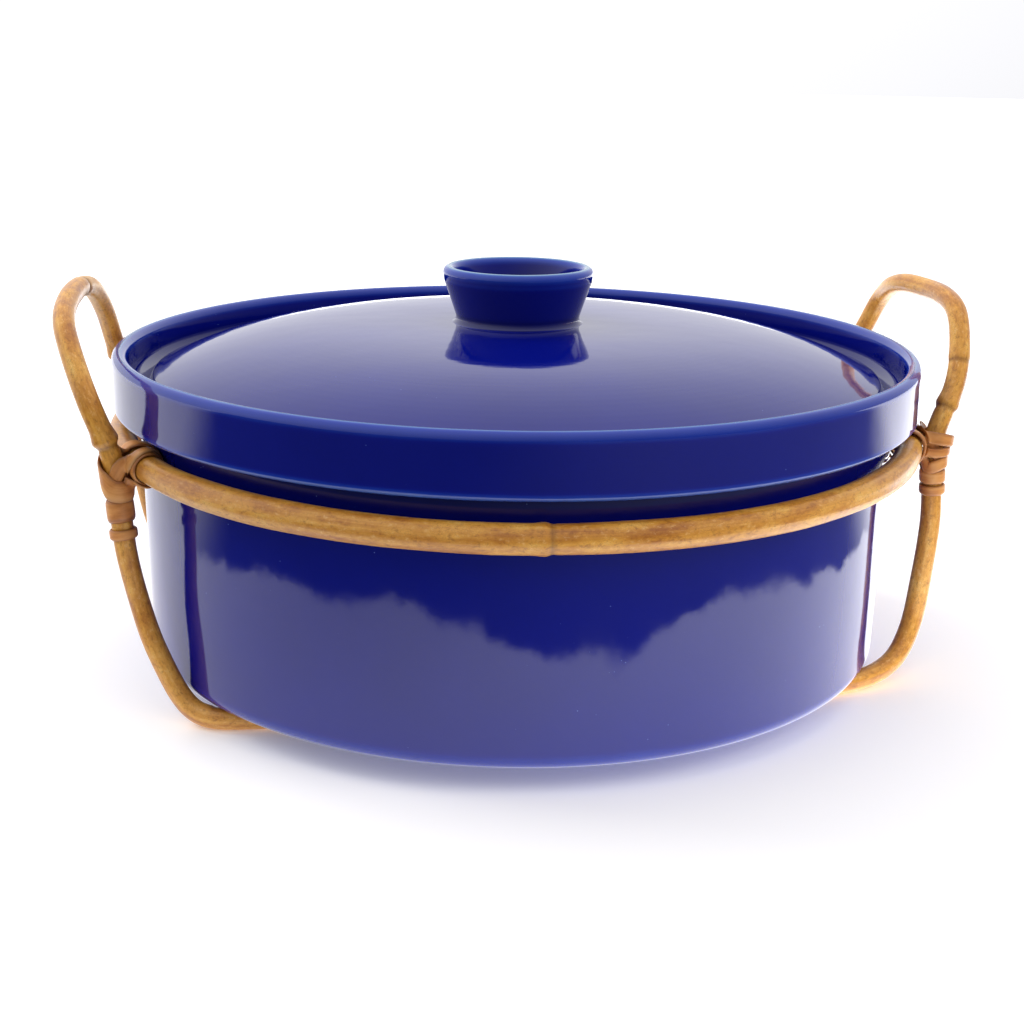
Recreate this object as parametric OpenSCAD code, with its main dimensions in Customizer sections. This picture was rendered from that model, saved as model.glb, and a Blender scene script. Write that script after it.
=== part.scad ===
// Round glazed casserole with a sunk domed lid, standing in a bent cane carrier.
// Millimetres. Origin on the floor under the pot's axis, +Z up, the two handles along X,
// and the front of the pot towards -Y.

/* [Pot] */
// Outer radius of the thick band round the rim
band_r = 135; // [134:0.5:137]
// Outer radius of the body just under the band
body_top_r = 127.1; // [124:0.1:127.1]
// Outer radius of the body just above its bottom edge
body_foot_r = 125.8; // [123:0.1:126]
// Height of the pot without its lid
pot_h = 101.3; // [99:0.1:103]
// Height of the thick band
band_h = 18.9; // [17:0.1:19]
// Thickness of the body's wall
wall = 6; // [5:0.5:7]
// Thickness of the pot's floor
floor_t = 7; // [5:0.5:9]
// Depth of the lid's ledge below the rim
ledge_depth = 13.3; // [12:0.1:15]

/* [Lid] */
// Outer radius of the lid's rounded edge
lid_r = 124.2; // [123.5:0.1:124.5]
// Height of the dome above the lid's edge line
dome_h = 15.3; // [12:0.1:18]
// Thickness of the dome
lid_t = 5.5; // [5:0.5:6.5]
// Depth of the locating skirt below the ledge
skirt_depth = 6; // [4:0.5:9]

/* [Knob] */
// Height of the cup-shaped knob above the dome
knob_h = 19; // [17:0.5:24]
// Outer radius of the knob at its lip
knob_top_r = 26; // [24:0.1:28]
// Outer radius of the knob at its waist
knob_waist_r = 20; // [18:0.1:21]
// Thickness of the knob's wall
knob_wall = 3.4; // [3:0.1:4]

/* [Carrier] */
// Diameter of the hoop's cane
hoop_cane_d = 9.1; // [8.5:0.1:9.3]
// Diameter of the cane that the legs and handles are bent from
leg_cane_d = 7; // [6.6:0.1:7.4]
// Radius of the hoop's centre line
hoop_r = 132.6; // [132.5:0.1:133.5]
// Height of the hoop's centre line
hoop_z = 81.4; // [80:0.1:82]
// Tilt of the hoop, low at the front, in degrees
hoop_tilt = 1; // [0:0.5:1]
// Half the distance from each front leg to the back leg beside it, at the hoop
leg_y = 48; // [46:0.5:50]
// Half the distance between the two runners under the pot
runner_y = 66; // [64:0.5:68]
// Height of the left handle's centre line
handle_left_z = 126.5; // [125:0.5:128]
// Height of the right handle's centre line
handle_right_z = 125; // [124:0.5:127]

// Outward lean of the left legs above their crossings, as a slope
lean_left = 0.07; // [0:0.01:0.1]
// Outward lean of the right legs above their crossings, as a slope
lean_right = -0.07; // [-0.08:0.01:0]

/* [Lashings] */
// Thickness of the binding round each crossing
bind_t = 1.3; // [1:0.1:1.5]
// Reach of the binding down the leg, below the hoop's centre line
bind_reach = 8.2; // [7.6:0.1:8.4]
// Height of the wide collars on the left legs
wide_left_h = 7; // [5:0.5:8]
// Height of the wide collars on the right legs
wide_right_h = 4.4; // [3.6:0.1:4.6]
// Height of the narrow collars
narrow_collar_h = 3.2; // [2.5:0.1:4]
// Thickness of the collars
collar_t = 1; // [0.8:0.1:1.2]

/* [Hidden] */

round_fn = 180;
small_fn = 48;
glaze = [0.07, 0.12, 0.48];
thin_glaze = [0.12, 0.22, 0.60];
cane_colour = [0.86, 0.64, 0.34];
binding_colour = [0.66, 0.40, 0.21];
dark_wood = [0.30, 0.16, 0.10];
steel = [0.55, 0.55, 0.55];

hoop_cane_r = hoop_cane_d / 2;
leg_cane_r = leg_cane_d / 2;
rest_gap = 0.3;             // between parts of bodies that move apart
fit_gap = 0.05;             // between a binding and the cane inside it
pot_z = leg_cane_d + rest_gap;  // the pot's foot, just above the runners
rim_z = pot_z + pot_h;
band_z = rim_z - band_h;
ledge_z = rim_z - ledge_depth;
rim_w = 5.3;
rim_round = rim_w / 2;
foot_round = 4.8;
gallery_r = 130.4;          // the rim's inner wall, above the ledge
gallery_round = 5.5;        // fillet between that wall and the ledge
band_round = 1.6;
inner_r = body_top_r - wall;
lid_z = ledge_z + rest_gap;
dome_r = 122.5;             // radius of the dome's edge line
dome_edge_z = lid_z + 4.4;  // height of that line
knob_z = dome_edge_z + dome_h - 0.05;
lip_round = 1.9;

leg_r = hoop_r + hoop_cane_r + leg_cane_r + 0.15;  // each leg's distance from the pot's axis
leg_x = sqrt(leg_r * leg_r - leg_y * leg_y);
leg_azimuth = atan2(leg_y, leg_x);
leg_straight = 25;          // straight stretch of each leg under its crossing
cane_sides = 12;
wide_left_drop = 13.5;      // from the hoop down to the middle of each collar
wide_right_drop = 10.8;
narrow_left_drop = 21;
narrow_right_drop = 15.4;
binding_half_angle = 4.2;   // reach of a binding along the hoop, in degrees
hoop_seam = 62;             // azimuth of the hoop's splice, at the back
hoop_seam_gap = 0.1;        // width of the seam, in degrees
dowel_r = 2;
handle_dowel_l = 15;
runner_dowel_l = 36;
brad_r = 0.8;
brad_l = 13.5;

// Height of a crossing; the front is fb = -1 and the back is fb = 1.
function crossing_z(fb) = hoop_z + fb * leg_y * sin(hoop_tilt);

// A point on a leg's straight stretch, a drop below its crossing.
function on_leg(lean, fb, drop = 0) =
    [leg_x - drop * lean, leg_y, crossing_z(fb) - drop];

// Points along a circular arc in a profile, from angle a to angle b.
function arc(x, z, r, a, b, n = 8) =
    [for (i = [0:n]) let (t = a + (b - a) * i / n) [x + r * cos(t), z + r * sin(t)]];

// Height of the dome's upper face at radius r.
function dome(r) = dome_edge_z + dome_h * (1 - pow(r / dome_r, 4));

// One stretch of a smooth curve from point b to point c, without its last point.
function stretch(a, b, c, d, n) =
    [for (i = [0:n - 1]) let (t = i / n)
        0.5 * (2 * b + (c - a) * t + (2 * a - 5 * b + 4 * c - d) * t * t
            + (3 * b - a - 3 * c + d) * t * t * t)];

// A smooth curve through every point but the first and the last, which steer its ends.
function curve(p, n) = concat(
    [for (i = [1:len(p) - 3]) each stretch(p[i - 1], p[i], p[i + 1], p[i + 2], n)],
    [p[len(p) - 2]]);

function reversed(p) = [for (i = [len(p) - 1:-1:0]) p[i]];
function unit(v) = v / norm(v);
function flip(p, sx, sy) = [for (q = p) [q.x * sx, q.y * sy, max(q.z, leg_cane_r)]];

// The bent legs and handles, as [out along X, half width along Y, height].
left_leg = [[126.5, 49, 34.5], [122, 53.5, 21.5], [113.5, 59, 6], [104, 64.5, 3.5]];
right_leg = [[132, 48, 28.5], [129, 49.5, 15], [120, 57, 6.6], [106, 63, 3.5]];
left_handle_front = [[147, 24, 122.5], [144, 38, 113.5], [139, 47.5, 100.5]];
left_handle_back = [[142.5, 22.5, 125.5], [139.5, 39.5, 114.5], [137, 48, 100.5]];
right_handle_front = [[147.5, 18, 124], [146.5, 29.5, 118.5], [142.5, 40, 100.5]];
right_handle_back = [[146.5, 21, 124], [148.5, 41, 115.5], [143, 45, 100.5]];
left_handle_out = 146;      // the middle of each handle's top, out along X
right_handle_out = 148;
bend_steps = 6;             // points along each stretch of a bend

// From the middle of a handle's top down to the crossing with the hoop.
function handle_half(side, other, top, lean, fb) =
    curve(concat([[other[0].x, -other[0].y, other[0].z], top], side,
        [on_leg(lean, fb), on_leg(lean, fb, leg_straight)]), bend_steps);

// From the end of a leg's straight stretch down to the middle of the runner under the pot.
function leg_half(leg, lean, fb) =
    concat(curve(concat([on_leg(lean, fb), on_leg(lean, fb, leg_straight)], leg,
        [[90, runner_y, leg_cane_r], [60, runner_y, leg_cane_r]]), bend_steps),
        [[0, runner_y, leg_cane_r]]);

function left_half(fb) =
    let (side = fb < 0 ? left_handle_front : left_handle_back,
        other = fb < 0 ? left_handle_back : left_handle_front,
        top = [left_handle_out, 0, handle_left_z])
    flip(concat(handle_half(side, other, top, lean_left, fb),
        leg_half(left_leg, lean_left, fb)), -1, fb);

function right_half(fb) =
    let (side = fb < 0 ? right_handle_front : right_handle_back,
        other = fb < 0 ? right_handle_back : right_handle_front,
        top = [right_handle_out, 0, handle_right_z])
    flip(concat(handle_half(side, other, top, lean_right, fb),
        leg_half(right_leg, lean_right, fb)), 1, fb);

left_front = left_half(-1);
left_back = left_half(1);
right_front = right_half(-1);
right_back = right_half(1);
crossing_step = 4 * bend_steps;     // the crossing's place in each half's list

// The left handle's splice is on the back half of its top, this many points from the middle.
splice_step = 3;
splice = left_back[splice_step];
splice_way = unit(left_back[splice_step + 1] - left_back[splice_step - 1]);
left_front_path = concat(reversed([for (i = [0:splice_step]) left_back[i]]),
    [for (i = [1:len(left_front) - 1]) left_front[i]]);
left_back_path = [for (i = [splice_step:len(left_back) - 1]) left_back[i]];
right_path = concat(reversed(right_front), [for (i = [1:len(right_back) - 1]) right_back[i]]);

function way(p, i) =
    unit(p[min(i + 1, len(p) - 1)] - p[max(i - 1, 0)]);

// A side direction for each point that doesn't twist along the path.
function side_ways(p, start) =
    [for (i = 0, u = unit(cross(cross(way(p, 0), start), way(p, 0))); i < len(p);
        i = i + 1, u = i < len(p) ? unit(u - (u * way(p, i)) * way(p, i)) : u) u];

// A round bar swept along a path; the first and last way are given so that splices meet.
module sweep(p, first_way, last_way, r) {
    u = side_ways(p, [0.3, 0.1, 1]);
    n = len(p);
    sides = cane_sides;
    points = [for (i = [0:n - 1])
        let (w = i == 0 ? first_way : i == n - 1 ? last_way : way(p, i),
            a = unit(u[i] - (u[i] * w) * w), b = cross(w, a))
        for (k = [0:sides - 1]) let (t = 360 * k / sides)
            p[i] + r * (cos(t) * a + sin(t) * b)];
    walls = [for (i = [0:n - 2]) for (k = [0:sides - 1]) let (j = (k + 1) % sides)
        each [[i * sides + k, (i + 1) * sides + k, i * sides + j],
            [i * sides + j, (i + 1) * sides + k, (i + 1) * sides + j]]];
    start_cap = [for (k = [0:sides - 1]) k];
    end_cap = [for (k = [sides - 1:-1:0]) (n - 1) * sides + k];
    polyhedron(points, concat(walls, [start_cap, end_cap]));
}

// A round bar of length l centred on a point, along a direction.
module bar(centre, direction, r, l) {
    w = unit(direction);
    translate(centre)
        rotate([0, acos(w.z), atan2(w.y, w.x)])
            cylinder(r = r, h = l, center = true, $fn = small_fn);
}

module handle_dowel_bar() {
    bar(splice, splice_way, dowel_r, handle_dowel_l);
}

module runner_dowel_bar(fb) {
    bar([0, fb * runner_y, leg_cane_r], [1, 0, 0], dowel_r, runner_dowel_l);
}

// A headless nail through a leg into the hoop, at side sx and front or back fb.
module brad(sx, fb, r = brad_r) {
    reach = leg_r + leg_cane_r - 0.3 - brad_l / 2;
    out = [sx * cos(leg_azimuth), fb * sin(leg_azimuth), 0];
    bar(out * reach + [0, 0, crossing_z(fb)], out, r, brad_l);
}

module brads(sx) {
    for (fb = [-1, 1])
        brad(sx, fb);
}

module hoop_place() {
    translate([0, 0, hoop_z])
        rotate([hoop_tilt, 0, 0])
            children();
}

// A stretch of round ring on the hoop's line, from one azimuth through an angle.
module ring_stretch(from, angle, r) {
    hoop_place()
        rotate([0, 0, from])
            rotate_extrude(angle = angle, $fn = round_fn)
                translate([hoop_r, 0])
                    circle(r = r, $fn = small_fn);
}

module hoop_dowel_bar() {
    hoop_place()
        rotate([0, 0, hoop_seam])
            bar([hoop_r, 0, 0], [0, 1, 0], dowel_r, handle_dowel_l);
}

module pot() {
    outside = concat([[0, pot_z + 1.5], [104, pot_z + 1.5], [106, pot_z]],
        arc(body_foot_r - foot_round, pot_z + foot_round, foot_round, -90, 0),
        arc(body_top_r + 1, band_z - 1, 1, 180, 90, 4),
        arc(band_r - band_round, band_z + band_round, band_round, -90, 0),
        arc(band_r - rim_round, rim_z - rim_round, rim_round, 0, 180, 14));
    inside = concat(
        arc(gallery_r - gallery_round, ledge_z + gallery_round, gallery_round, 0, -90),
        arc(inner_r + 1.2, ledge_z - 1.2, 1.2, 90, 180, 5),
        arc(body_foot_r - wall - 10, pot_z + floor_t + 10, 10, 0, -90),
        [[0, pot_z + floor_t]]);
    color(glaze)
        rotate_extrude($fn = round_fn)
            polygon(concat(outside, inside));
}

module lid() {
    steps = 24;
    dome_top = [for (i = [0:steps]) let (r = 121 * i / steps) [r, min(dome(r), knob_z)]];
    edge_round = lid_r - 121.8;
    edge = arc(121.8, lid_z + edge_round, edge_round, 70, -90, 10);
    skirt = concat([[119.3, lid_z]],
        arc(118, lid_z - skirt_depth + 1, 1, 0, -90, 4),
        arc(115.5, lid_z - skirt_depth + 1, 1, -90, -180, 4));
    under = [for (i = [steps:-1:0]) let (r = 113.5 * i / steps) [r, dome(r) - lid_t]];
    color(glaze)
        rotate_extrude($fn = round_fn)
            polygon(concat(dome_top, edge, skirt, under));
}

module lid_knob() {
    top_z = knob_z + knob_h;
    lip_x = knob_top_r - lip_round;
    outside = concat([[0, knob_z], [knob_waist_r + 2.2, knob_z]],
        arc(knob_waist_r + 2.2, knob_z + 2.4, 2.1, -90, -190, 8),
        arc(lip_x, top_z - lip_round, lip_round, -20, 180, 14));
    inside = concat([[knob_top_r - knob_wall - 0.6, top_z - lip_round - 3]],
        arc(knob_waist_r - knob_wall - 4, knob_z + 8, 4, 0, -90, 6),
        [[0, knob_z + 4]]);
    color(glaze)
        rotate_extrude($fn = 96)
            polygon(concat(outside, inside));
}

module hoop() {
    color(cane_colour)
        difference() {
            ring_stretch(hoop_seam + hoop_seam_gap, 360 - 2 * hoop_seam_gap, hoop_cane_r);
            hoop_dowel_bar();
            brads(-1);
            brads(1);
        }
}

module hoop_splice_dowel() {
    color(dark_wood)
        hoop_dowel_bar();
}

module cane_left_front() {
    color(cane_colour)
        difference() {
            sweep(left_front_path, -splice_way, [1, 0, 0], leg_cane_r);
            handle_dowel_bar();
            runner_dowel_bar(-1);
            brad(-1, -1);
        }
}

module cane_left_back() {
    color(cane_colour)
        difference() {
            sweep(left_back_path, splice_way, [1, 0, 0], leg_cane_r);
            handle_dowel_bar();
            runner_dowel_bar(1);
            brad(-1, 1);
        }
}

module cane_right() {
    color(cane_colour)
        difference() {
            sweep(right_path, [1, 0, 0], [-1, 0, 0], leg_cane_r);
            runner_dowel_bar(-1);
            runner_dowel_bar(1);
            brads(1);
        }
}

module handle_splice_dowel() {
    color(dark_wood)
        handle_dowel_bar();
}

module runner_splice_dowels() {
    color(dark_wood)
        for (fb = [-1, 1])
            runner_dowel_bar(fb);
}

module joint_brads() {
    color(steel)
        for (sx = [-1, 1])
            brads(sx);
}

// A sleeve on a leg, from some steps above its crossing to a drop below it.
module leg_sleeve(sx, fb, r, steps, drop) {
    half = sx < 0 ? left_half(fb) : right_half(fb);
    foot = flip([on_leg(sx < 0 ? lean_left : lean_right, fb, drop)], sx, fb);
    path = concat([for (i = [crossing_step - steps:crossing_step]) half[i]], foot);
    sweep(path, way(path, 0), way(path, len(path) - 1), r);
}

// The binding over one crossing: a sleeve on the leg and one on the hoop, in one piece.
module lashing(sx, fb) {
    at = sx > 0 ? fb * leg_azimuth : 180 - fb * leg_azimuth;
    leg_bore_r = (leg_cane_r + fit_gap) / cos(180 / cane_sides);
    hoop_bore_r = hoop_cane_r + fit_gap;
    color(binding_colour)
        difference() {
            union() {
                leg_sleeve(sx, fb, leg_cane_r + bind_t, 3, bind_reach);
                ring_stretch(at - binding_half_angle, 2 * binding_half_angle,
                    hoop_cane_r + bind_t);
            }
            leg_sleeve(sx, fb, leg_bore_r, 5, 2 * bind_reach);
            ring_stretch(at - 2 * binding_half_angle, 4 * binding_half_angle, hoop_bore_r);
            cylinder(r = body_top_r + rest_gap, h = 2 * hoop_z, $fn = round_fn);
            brad(sx, fb, brad_r + fit_gap);
        }
}

module collar(sx, fb, h, drop) {
    lean = sx < 0 ? lean_left : lean_right;
    middle = flip([on_leg(lean, fb, drop)], sx, fb)[0];
    along = [sx * lean, 0, 1];
    color(binding_colour)
        difference() {
            bar(middle, along, leg_cane_r + collar_t, h);
            bar(middle, along, leg_cane_r + fit_gap, 2 * h);
        }
}

module lashing_front_left() { lashing(-1, -1); }
module lashing_front_right() { lashing(1, -1); }
module lashing_back_left() { lashing(-1, 1); }
module lashing_back_right() { lashing(1, 1); }
module wide_collar_front_left() { collar(-1, -1, wide_left_h, wide_left_drop); }
module wide_collar_front_right() { collar(1, -1, wide_right_h, wide_right_drop); }
module wide_collar_back_left() { collar(-1, 1, wide_left_h, wide_left_drop); }
module wide_collar_back_right() { collar(1, 1, wide_right_h, wide_right_drop); }
module narrow_collar_front_left() { collar(-1, -1, narrow_collar_h, narrow_left_drop); }
module narrow_collar_front_right() { collar(1, -1, narrow_collar_h, narrow_right_drop); }
module narrow_collar_back_left() { collar(-1, 1, narrow_collar_h, narrow_left_drop); }
module narrow_collar_back_right() { collar(1, 1, narrow_collar_h, narrow_right_drop); }

pot();
lid();
lid_knob();
hoop();
hoop_splice_dowel();
cane_left_front();
cane_left_back();
cane_right();
handle_splice_dowel();
runner_splice_dowels();
joint_brads();
lashing_front_left();
lashing_front_right();
lashing_back_left();
lashing_back_right();
wide_collar_front_left();
wide_collar_front_right();
wide_collar_back_left();
wide_collar_back_right();
narrow_collar_front_left();
narrow_collar_front_right();
narrow_collar_back_left();
narrow_collar_back_right();
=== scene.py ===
"""Looks of a round glazed casserole with a sunk lid, standing in a bent cane carrier.

Lengths are in millimetres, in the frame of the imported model, until a mesh is made.
"""
import math

import bpy
import numpy as np
from mathutils import Matrix, Vector
from mathutils.kdtree import KDTree


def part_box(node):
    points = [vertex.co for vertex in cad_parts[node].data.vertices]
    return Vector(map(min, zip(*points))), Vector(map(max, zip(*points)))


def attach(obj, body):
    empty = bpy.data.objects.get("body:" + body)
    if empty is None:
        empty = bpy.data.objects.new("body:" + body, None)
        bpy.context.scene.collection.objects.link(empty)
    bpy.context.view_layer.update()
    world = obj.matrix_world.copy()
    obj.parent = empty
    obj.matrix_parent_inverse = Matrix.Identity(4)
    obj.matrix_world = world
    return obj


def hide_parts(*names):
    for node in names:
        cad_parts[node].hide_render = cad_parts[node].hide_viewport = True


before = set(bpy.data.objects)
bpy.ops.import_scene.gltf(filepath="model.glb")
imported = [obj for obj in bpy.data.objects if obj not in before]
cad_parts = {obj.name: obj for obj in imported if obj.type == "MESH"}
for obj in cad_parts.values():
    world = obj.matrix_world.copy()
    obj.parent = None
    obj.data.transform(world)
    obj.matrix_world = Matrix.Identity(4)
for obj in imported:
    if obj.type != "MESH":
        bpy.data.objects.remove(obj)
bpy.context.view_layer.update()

MM = 0.001
TAU = 2 * math.pi

# ---------------------------------------------------------------- sizes shared with the frame


def box_mm(node):
    """The lowest and highest corner of a node, in millimetres."""
    low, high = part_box(node)
    return np.array(low) / MM, np.array(high) / MM


POT_LOW, POT_HIGH = box_mm("pot")
LID_HIGH = box_mm("lid")[1]
KNOB_LOW, KNOB_HIGH = box_mm("lid_knob")

RIM_Z = POT_HIGH[2]
FOOT_Z = POT_LOW[2]
BAND_R = POT_HIGH[0]
BAND_Z = RIM_Z - 18.9
BODY_TOP_R = 127.1
BODY_FOOT_R = 125.8
WALL = 6
LEDGE_Z = RIM_Z - 13.3
GALLERY_R = 130.4
LID_R = LID_HIGH[0]
LID_Z = LEDGE_Z + 0.3
KNOB_Z = KNOB_LOW[2]
KNOB_TOP_Z = KNOB_HIGH[2]
KNOB_R = KNOB_HIGH[0]
DOME_R = 122.5
DOME_EDGE_Z = LID_Z + 4.4
DOME_H = KNOB_Z + 0.05 - DOME_EDGE_Z

HOOP_CANE_R = 4.55
LEG_CANE_R = 3.5
HOOP_R = 132.6
HOOP_Z = 81.4
HOOP_TILT = math.radians(1)
HOOP_SEAM = math.radians(62)
LEG_Y = 48
RUNNER_Y = 66
LEG_R = HOOP_R + HOOP_CANE_R + LEG_CANE_R + 0.15
LEG_X = math.sqrt(LEG_R ** 2 - LEG_Y ** 2)
LEG_STRAIGHT = 25
STEPS = 6

# Each side's bent cane, as [out along X, half width along Y, height].
SIDES = {
    "left": dict(sign=-1, lean=0.07, top=(146, 0, 126.5),
                 front=[(147, 24, 122.5), (144, 38, 113.5), (139, 47.5, 100.5)],
                 back=[(142.5, 22.5, 125.5), (139.5, 39.5, 114.5), (137, 48, 100.5)],
                 leg=[(126.5, 49, 34.5), (122, 53.5, 21.5), (113.5, 59, 6), (104, 64.5, 3.5)]),
    "right": dict(sign=1, lean=-0.07, top=(148, 0, 125),
                  front=[(147.5, 18, 124), (146.5, 29.5, 118.5), (142.5, 40, 100.5)],
                  back=[(146.5, 21, 124), (148.5, 41, 115.5), (143, 45, 100.5)],
                  leg=[(132, 48, 28.5), (129, 49.5, 15), (120, 57, 6.6), (106, 63, 3.5)]),
}
SPLICE_STEP = 3
FLOOR_SIZE = 9          # metres from the middle to the floor's edge
WIDE_COLLAR = {"left": (13.5, 7.0), "right": (10.8, 4.4)}       # drop and height
NARROW_COLLAR = {"left": (21.0, 3.2), "right": (15.4, 3.2)}

# ---------------------------------------------------------------- curves


def stretch(a, b, c, d, n):
    """One stretch of a smooth curve from b to c, without its last point."""
    t = (np.arange(n) / n)[:, None]
    return 0.5 * (2 * b + (c - a) * t + (2 * a - 5 * b + 4 * c - d) * t ** 2
                  + (3 * b - a - 3 * c + d) * t ** 3)


def curve(points, n):
    """A smooth curve through every point but the first and the last, which steer its ends."""
    p = np.array(points, float)
    parts = [stretch(*p[i - 1:i + 3], n) for i in range(1, len(p) - 2)]
    return np.vstack(parts + [p[-2:-1]])


def crossing_z(fb):
    return HOOP_Z + fb * LEG_Y * math.sin(HOOP_TILT)


def on_leg(side, fb, drop=0):
    return (LEG_X - drop * side["lean"], LEG_Y, crossing_z(fb) - drop)


def cane_half(side, fb):
    """From the middle of a handle's top, down a leg to the middle of a runner."""
    near, other = (side["front"], side["back"])[::-fb]
    ends = [on_leg(side, fb), on_leg(side, fb, LEG_STRAIGHT)]
    before = (other[0][0], -other[0][1], other[0][2])
    handle = curve([before, side["top"], *near, *ends], STEPS)
    leg = curve([*ends, *side["leg"], (90, RUNNER_Y, LEG_CANE_R), (60, RUNNER_Y, LEG_CANE_R)],
                STEPS)
    path = np.vstack([handle, leg, [(0, RUNNER_Y, LEG_CANE_R)]])
    path[:, 2] = np.maximum(path[:, 2], LEG_CANE_R)
    return path * (side["sign"], fb, 1)


CROSSING_STEP = 4 * STEPS
HALVES = {(name, fb): cane_half(side, fb) for name, side in SIDES.items() for fb in (-1, 1)}


def lengths(path):
    """How far along a path each of its points is."""
    return np.concatenate([[0], np.cumsum(np.linalg.norm(np.diff(path, axis=0), axis=1))])


def resample(path, step):
    """The path with evenly spaced points, smoothed a little at its knees."""
    s = lengths(path)
    n = int(s[-1] / step) + 1
    even = np.linspace(0, s[-1], n)
    fine = np.column_stack([np.interp(even, s, path[:, k]) for k in range(3)])
    reach = int(2.5 / step)
    for _ in range(3):
        padded = np.vstack([2 * fine[0] - fine[reach:0:-1], fine,
                            2 * fine[-1] - fine[-2:-reach - 2:-1]])
        kernel = np.ones(2 * reach + 1) / (2 * reach + 1)
        fine = np.column_stack([np.convolve(padded[:, k], kernel, "valid") for k in range(3)])
    return fine


def tangents(path, closed=False):
    if closed:
        d = np.roll(path, -1, axis=0) - np.roll(path, 1, axis=0)
    else:
        d = np.gradient(path, axis=0)
    return d / np.linalg.norm(d, axis=1)[:, None]


def carried_sides(path, start):
    """A side direction for each point that doesn't twist along the path."""
    t = tangents(path)
    u = np.array(start, float)
    out = []
    for w in t:
        u = u - (u @ w) * w
        u = u / np.linalg.norm(u)
        out.append(u)
    return np.array(out)


RNG = np.random.default_rng(7)
WAVES = RNG.normal(size=(14, 3))
PHASES = RNG.uniform(0, TAU, 14)


def soft_noise(x, y=0.0, z=0.0):
    """Smooth noise from about -1 to 1 at points given as numbers or arrays."""
    total = 0
    for (a, b, c), phase in zip(WAVES, PHASES):
        total = total + np.sin(1.7 * (a * x + b * y + c * z) + phase)
    return total / 4.5


# ---------------------------------------------------------------- meshes


def mesh_object(name, points_mm, faces, attributes, material, body):
    """An object with smooth faces, from points in millimetres, that rides on a body."""
    mesh = bpy.data.meshes.new(name)
    mesh.from_pydata((np.asarray(points_mm) * MM).tolist(), [], faces)
    for key, values in attributes.items():
        values = np.asarray(values, np.float32)
        if values.ndim == 1:
            mesh.attributes.new(key, "FLOAT", "POINT").data.foreach_set("value", values)
        else:
            mesh.attributes.new(key, "FLOAT_VECTOR", "POINT").data.foreach_set(
                "vector", values.ravel())
    mesh.shade_smooth()
    mesh.materials.append(material)
    piece = bpy.data.objects.new(name, mesh)
    bpy.context.scene.collection.objects.link(piece)
    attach(piece, body)
    return piece


def grid_faces(rows, columns, first=0, closed_rows=False):
    """Quads of a tube: rows of points, each row closed round."""
    faces = []
    last = rows if closed_rows else rows - 1
    for i in range(last):
        a, b = first + i * columns, first + (i + 1) % rows * columns
        for k in range(columns):
            j = (k + 1) % columns
            faces.append((a + k, a + j, b + j, b + k))
    return faces


# ---------------------------------------------------------------- materials


def linear(r, g, b):
    """A colour given as 0 to 255 screen values."""
    return tuple(((c / 255 + 0.055) / 1.055) ** 2.4 if c > 10 else c / 255 / 12.92
                 for c in (r, g, b)) + (1,)


class Nodes:
    """A short way to write a material's nodes."""

    def __init__(self, name):
        self.material = bpy.data.materials.new(name)
        self.material.use_nodes = True
        self.tree = self.material.node_tree
        self.shader = self.tree.nodes["Principled BSDF"]

    def add(self, kind, *inputs, **settings):
        node = self.tree.nodes.new(kind)
        for key, value in settings.items():
            setattr(node, key, value)
        for i, value in enumerate(inputs):
            self.put(node.inputs[i], value)
        return node

    def put(self, socket, value):
        if isinstance(value, bpy.types.NodeSocket):
            self.tree.links.new(value, socket)
        elif value is not None:
            socket.default_value = value

    def attribute(self, name, output="Fac"):
        node = self.add("ShaderNodeAttribute", attribute_name=name)
        return node.outputs[output]

    def scaled(self, vector, scale):
        node = self.add("ShaderNodeMapping", vector)
        node.inputs["Scale"].default_value = scale
        return node.outputs[0]

    def noise(self, vector, scale, detail=3, roughness=0.55):
        node = self.add("ShaderNodeTexNoise")
        for key, value in dict(Vector=vector, Scale=scale, Detail=detail,
                               Roughness=roughness).items():
            self.put(node.inputs[key], value)
        return node.outputs["Fac"]

    def ramp(self, fac, stops):
        """Colours or values along a ramp; each stop is (place, colour or value)."""
        node = self.add("ShaderNodeValToRGB", fac)
        elements = node.color_ramp.elements
        while len(elements) < len(stops):
            elements.new(0.5)
        for element, (place, colour) in zip(elements, stops):
            element.position = place
            element.color = colour if hasattr(colour, "__len__") else (colour,) * 3 + (1,)
        return node.outputs["Color"]

    def maths(self, operation, a, b=None):
        return self.add("ShaderNodeMath", a, b, operation=operation).outputs[0]

    def mix(self, fac, a, b, blend="MIX"):
        node = self.add("ShaderNodeMix", data_type="RGBA", blend_type=blend)
        self.put(node.inputs[0], fac)
        self.put(node.inputs[6], a)
        self.put(node.inputs[7], b)
        return node.outputs[2]

    def bump(self, height, strength, distance, normal=None):
        node = self.add("ShaderNodeBump")
        self.put(node.inputs["Height"], height)
        node.inputs["Strength"].default_value = strength
        node.inputs["Distance"].default_value = distance
        self.put(node.inputs["Normal"], normal)
        return node.outputs["Normal"]

    def finish(self, colour, roughness, normal, **constants):
        self.put(self.shader.inputs["Base Color"], colour)
        self.put(self.shader.inputs["Roughness"], roughness)
        self.put(self.shader.inputs["Normal"], normal)
        for key, value in constants.items():
            self.shader.inputs[key.replace("_", " ")].default_value = value
        return self.material


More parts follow.
